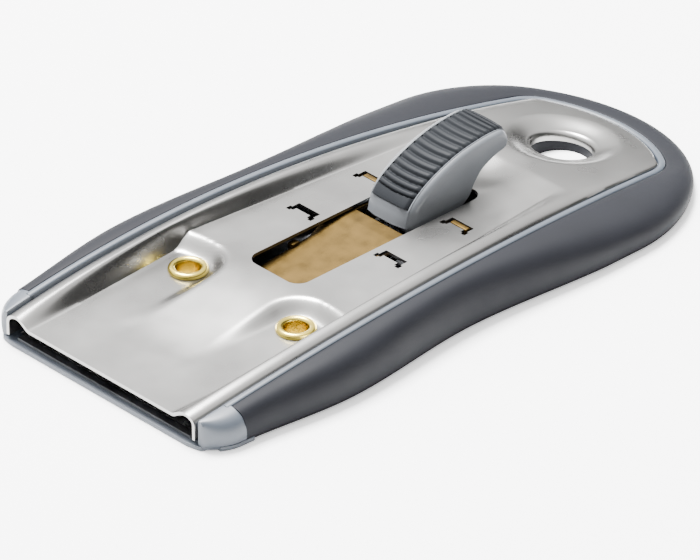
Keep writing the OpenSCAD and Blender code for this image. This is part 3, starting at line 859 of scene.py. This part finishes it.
def rounded_foot(at, t):
    """Draws a point of the lever's front back towards its sides, so that the foot is round in plan."""
    over = min(max(abs(at.x) - (LEVER_HALF - FOOT_R), 0), 0.97 * FOOT_R)
    return at + Vector((0, bow(over, FOOT_R) * (1 - ease(t / 0.42)), 0))


def make_lever():
    """Lever body with a crowned top, soft edges and a recess for the pad."""
    steps = 96
    round_r = 1.1

    def section(t):
        top, low = lever_point(t, 0, 1), lever_point(t, 0, 0)
        tall = max((top - low).length, 0.05)
        nose = ease(t / 0.06) * 0.5 + 0.5
        tail = math.sqrt(max(1 - max((t - 0.86) / 0.15, 0) ** 2, 0.02))
        half = LEVER_HALF * mix(0.86, 1, nose) * mix(0.80, 1, tail)
        recess = PAD_DEEP if PAD_START < t < PAD_END else 0
        r = min(round_r, 0.4 * tall)
        right = [(0, -recess), (PAD_HALF * 0.5, -recess - 0.08), (PAD_HALF, -recess - 0.2),
                 (PAD_HALF + 0.12, -0.22)]
        right += [(half - r + r * math.sin(a), -0.3 - r * (1 - math.cos(a)))
                  for a in (math.pi / 8 * i for i in range(5))]
        right += [(half, -mix(r + 0.3, tall, 0.5)), (half, -tall + 0.3), (half - 0.3, -tall), (0, -tall)]
        ring = right + [(-x, z) for x, z in reversed(right[1:-1])]
        down = (low - top) / tall
        return [rounded_foot(top + Vector((x, 0, 0)) - down * z, t) for x, z in ring]

    stations = sorted([i / steps for i in range(steps + 1)] + [PAD_START + 0.0005, PAD_END - 0.0005])
    rings = [section(t) for t in stations]
    rows, cols = len(rings) - 1, len(rings[0])
    def place(u, w):
        return rings[round((w + 1) / 2 * rows)][round((u + 1) / 2 * cols) % cols]

    piece = blank(cols, rows, place)
    close_tube(piece)
    return settle(piece, "lever_body", 38)


def make_pad():
    """Pad along the lever's top: a broad smooth front rib, then a row of gently curved ribs."""
    ribs, per_rib, cols = 17, 12, 24
    rows = (ribs + 2) * per_rib
    long, first = 24.0, 2.2
    pitch = (long - first) / (ribs + 0.5)

    def place(u, w):
        t = mix(PAD_START + 0.006, PAD_END - 0.006, (w + 1) / 2)
        x = u * (PAD_HALF - 0.14)
        top = lever_point(t, 0, 1)
        ahead, behind = lever_point(t + 0.004, 0, 1), lever_point(t - 0.004, 0, 1)
        along = (ahead - behind).normalized()
        square = Vector((0, -along.z, along.y))
        run = (w + 1) / 2 * long - 0.018 * x * x
        rise = 0.25
        if run > first:
            rise = 0.3 - 0.5 * abs(math.cos(math.pi * (run - first) / pitch)) ** 5
        rise -= 0.2 * (x / PAD_HALF) ** 2
        rise -= 0.4 * max(0, abs(u) - 0.93) / 0.07
        return rounded_foot(top + Vector((x, 0, 0)) + square * rise, t)

    piece = blank(cols, rows, place)
    apply(piece, "SOLIDIFY", thickness=0.8 * MM, offset=-1 if piece.data.polygons[0].normal.z > 0 else 1)
    return settle(piece, "ribbed_pad", 60)


# ---- materials ----
def colour(code):
    """Linear colour from an sRGB hex value."""
    parts = (int(code[i:i + 2], 16) / 255 for i in (0, 2, 4))
    return tuple(c / 12.92 if c <= 0.04045 else ((c + 0.055) / 1.055) ** 2.4 for c in parts) + (1.0,)


def add(tree, kind, feeds=None, **settings):
    """Adds a node with its settings; feeds gives each input its value or the socket that drives it."""
    made = tree.nodes.new(kind)
    for key, value in settings.items():
        setattr(made, key, value)
    for key, value in (feeds or {}).items():
        if isinstance(value, bpy.types.NodeSocket):
            tree.links.new(value, made.inputs[key])
        else:
            made.inputs[key].default_value = value
    return made


def surface(name, **sockets):
    """A material whose shader sockets take the given constant values, with its tree and shader."""
    material = bpy.data.materials.new(name)
    material.use_nodes = True
    tree = material.node_tree
    shader = tree.nodes["Principled BSDF"]
    for key, value in sockets.items():
        shader.inputs[key.replace("_", " ")].default_value = value
    place = add(tree, "ShaderNodeTexCoord").outputs["Object"]
    return material, tree, shader, place


def per_mm(size):
    """Texture scale at which one period of a pattern is size millimetres long."""
    return 1 / (size * MM)


def noise(tree, place, size, detail, roughness=0.5):
    """A noise pattern with features of the given size in millimetres."""
    feeds = {"Vector": place, "Scale": per_mm(size), "Detail": detail, "Roughness": roughness}
    return add(tree, "ShaderNodeTexNoise", feeds).outputs["Fac"]


def clouded(name, low, high, rough_low, rough_high, patch, detail, **sockets):
    """A surface whose tone and gloss wander between two values over patches of the given size."""
    material, tree, shader, place = surface(name, **sockets)
    cloud = noise(tree, place, patch, detail)
    tone = add(tree, "ShaderNodeMix", {0: cloud, 6: colour(low), 7: colour(high)}, data_type="RGBA")
    tree.links.new(tone.outputs[2], shader.inputs["Base Color"])
    rough = add(tree, "ShaderNodeMapRange", {"Value": cloud, "From Min": 0.3, "From Max": 0.7,
                                             "To Min": rough_low, "To Max": rough_high})
    tree.links.new(rough.outputs["Result"], shader.inputs["Roughness"])
    return material, tree, shader, place


def grain_bump(tree, shader, height, depth, strength):
    """Raises the surface by a pattern, depth millimetres high."""
    bump = add(tree, "ShaderNodeBump", {"Height": height, "Distance": depth * MM, "Strength": strength})
    tree.links.new(bump.outputs["Normal"], shader.inputs["Normal"])


def brushed_stainless():
    """Cold-rolled stainless sheet, brushed along the knife: soft bright bands and a faint long grain."""
    material, tree, shader, place = clouded("brushed_stainless", "8a8987", "999896", 0.25, 0.33, 14, 3.0,
                                            Metallic=1.0)
    drawn_out = add(tree, "ShaderNodeMapping", {"Vector": place, "Scale": (1, 0.03, 1)}).outputs["Vector"]
    grain_bump(tree, shader, noise(tree, drawn_out, 0.22, 3.0, 0.6), 0.004, 0.35)
    return material


def plated_metal(name, low, high, rough_low, rough_high, patch):
    """A plated or bare metal with a cloudy tone and gloss and a very fine tooth."""
    material, tree, shader, place = clouded(name, low, high, rough_low, rough_high, patch, 4.0, Metallic=1.0)
    grain_bump(tree, shader, noise(tree, place, 0.25, 2.0), 0.003, 0.4)
    return material


def moulded(name, low, high, rough_low, rough_high, grain, depth, **sockets):
    """A moulded plastic or rubber with a spark-eroded grain and slightly uneven gloss."""
    material, tree, shader, place = clouded(name, low, high, rough_low, rough_high, 9, 3.0, **sockets)
    grain_bump(tree, shader, noise(tree, place, grain, 2.0), depth, 0.6)
    return material


# Cold-rolled, brushed stainless sheet: the bright face of the knife, with soft bands along its bends
COVER_STEEL = brushed_stainless()
# Zinc-plated mild steel of the small inside parts: grey and a little cloudy
ZINC_STEEL = plated_metal("zinc_plated_steel", "9b9da0", "b4b6b8", 0.32, 0.45, 6)
# Yellow-chromated zinc on formed strip: matte brownish gold with cloudy patches
PASSIVATED_STEEL = plated_metal("yellow_passivated_steel", "33270f", "534223", 0.42, 0.56, 3)
# Drawn brass, tumbled: clear yellow with a bright line round each rolled lip
BRASS = plated_metal("tumbled_brass", "b8a240", "cdb95f", 0.18, 0.28, 4)
# Hardened carbon steel, ground: bright with a fine tooth
BLADE_STEEL = plated_metal("ground_blade_steel", "b7b9bc", "c9cbcd", 0.22, 0.3, 5)
# Oiled spring steel: darker and slightly glossy
SPRING_STEEL = plated_metal("oiled_spring_steel", "77787b", "8b8c8f", 0.28, 0.4, 5)
# Grey moulded ABS of trim and bumpers: satin, a little blue
ABS_GREY = moulded("grey_moulded_abs", "383e46", "41474f", 0.38, 0.5, 0.35, 0.006, IOR=1.53)
# Thermoplastic rubber with a fine moulded grain that holds back most of its sheen: dark, soft on its curves
GRIP_RUBBER = moulded("dark_grip_rubber", "111216", "16171c", 0.55, 0.66, 0.4, 0.012,
                      IOR=1.5, Specular_IOR_Level=0.14)
# Grey moulded acetal of the lever: smooth, satin, lighter than its pad
LEVER_PLASTIC = moulded("grey_moulded_acetal", "54575b", "5c5f63", 0.34, 0.44, 0.5, 0.004,
                        IOR=1.48, Specular_IOR_Level=0.4)
# Soft rubber of the ribbed pad: dark and matte, so that the grooves between its ribs stay dark
PAD_RUBBER = moulded("ribbed_pad_rubber", "15171a", "1b1d20", 0.5, 0.6, 0.4, 0.008,
                     IOR=1.5, Specular_IOR_Level=0.1)


# ---- pieces on the frame ----
finish_piece(make_cover(), COVER_STEEL, "body", "cover_steel", "top_plate")
finish_piece(make_floor(), ABS_GREY, "body", "body_plastic", "body_frame")
finish_piece(make_trim(), ABS_GREY, "body", "body_plastic")
finish_piece(make_bumpers(), ABS_GREY, "body", "body_plastic")
finish_piece(make_grip(), GRIP_RUBBER, "body", "grip_rubber", "soft_grip")
finish_piece(make_eyelet(-1, "brass_eyelet_left"), BRASS, "body", "eyelet_brass", "eyelet_left")
finish_piece(make_eyelet(1, "brass_eyelet_right"), BRASS, "body", "eyelet_brass", "eyelet_right")
finish_piece(make_latch(), PASSIVATED_STEEL, "latch", "passivated_steel", "latch_plate")
finish_piece(make_strip(), PASSIVATED_STEEL, "slider", "passivated_steel", "carriage")
finish_piece(make_lever(), LEVER_PLASTIC, "lever", "lever_plastic", "thumb_lever")
finish_piece(make_pad(), PAD_RUBBER, "lever", "pad_rubber", "lever_pad")

KEPT = {
    "bed_plate": SPRING_STEEL, "hole_liner": GRIP_RUBBER, "blade": BLADE_STEEL,
    "blade_keeper": SPRING_STEEL, "keeper_rivets": ZINC_STEEL, "latch_spring": SPRING_STEEL,
    "lever_pin": ZINC_STEEL, "lever_spring": SPRING_STEEL,
}
for node, material in KEPT.items():
    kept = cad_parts[node]
    kept.data.materials.clear()
    kept.data.materials.append(material)


# ---- floor, lights and camera ----
def studio_floor():
    """A pale floor that also glows a little, as on a lit table."""
    bpy.ops.object.select_all(action="DESELECT")
    bpy.ops.mesh.primitive_plane_add(size=3)
    floor = bpy.context.object
    floor.name = "studio_floor"
    sockets = {"Base_Color": colour("f4f4f4"), "Emission_Color": colour("ffffff"), "Emission_Strength": 0.6}
    material = surface("pale_floor", Roughness=0.8, **sockets)[0]
    floor.data.materials.append(material)


def soft_box(name, place, aim, width, height, power):
    """A rectangular soft light at place, turned to aim, in metres and watts."""
    light = bpy.data.lights.new(name, "AREA")
    light.shape = "RECTANGLE"
    light.size = width
    light.size_y = height
    light.energy = power
    lamp = bpy.data.objects.new(name, light)
    bpy.context.scene.collection.objects.link(lamp)
    lamp.location = place
    lamp.rotation_euler = (Vector(aim) - Vector(place)).to_track_quat("-Z", "Y").to_euler()


# Where the studio is palest, and its strengths from the dark walls to the palest place
PALE_SIDE = (-0.35, -0.15, 0.92)
WALL_LIGHT, CEILING_LIGHT, PALEST_LIGHT = 0.1, 2.3, 5.3


def sky():
    """The studio round the knife: an even pale ceiling, palest on the left, over dark walls."""
    world = bpy.data.worlds.new("studio_surround")
    bpy.context.scene.world = world
    world.use_nodes = True
    tree = world.node_tree
    where = add(tree, "ShaderNodeTexCoord").outputs["Generated"]
    lean = add(tree, "ShaderNodeVectorMath", {0: where, 1: PALE_SIDE}, operation="DOT_PRODUCT")
    lean = lean.outputs["Value"]
    ceiling = add(tree, "ShaderNodeMapRange", {"Value": lean, "From Min": 0.3, "From Max": 0.47,
                                               "To Min": WALL_LIGHT, "To Max": CEILING_LIGHT},
                  interpolation_type="SMOOTHSTEP").outputs["Result"]
    palest = add(tree, "ShaderNodeMapRange", {"Value": lean, "From Min": 0.72, "From Max": 1.0, "To Min": 0.0,
                                              "To Max": PALEST_LIGHT - CEILING_LIGHT}).outputs["Result"]
    level = add(tree, "ShaderNodeMath", {0: ceiling, 1: palest}, operation="ADD")
    back = tree.nodes["Background"]
    back.inputs["Color"].default_value = (1, 1, 1, 1)
    tree.links.new(level.outputs["Value"], back.inputs["Strength"])


def camera():
    azimuth, elevation = math.radians(46.34), math.radians(31.43)
    target = Vector((2.19, -8.31, 0)) * MM
    back = Vector((math.sin(azimuth) * math.cos(elevation), -math.cos(azimuth) * math.cos(elevation),
                   math.sin(elevation)))
    lens = bpy.data.cameras.new("camera")
    lens.lens = 455.07
    lens.sensor_width = 36
    lens.clip_end = 10
    eye = bpy.data.objects.new("camera", lens)
    bpy.context.scene.collection.objects.link(eye)
    eye.location = target + back * 1.5
    eye.rotation_euler = (-back).to_track_quat("-Z", "Y").to_euler()
    bpy.context.scene.camera = eye


studio_floor()
sky()
soft_box("key", (-0.4, 0.05, 1.1), (0, 0, 0), 0.5, 0.5, 90)
camera()
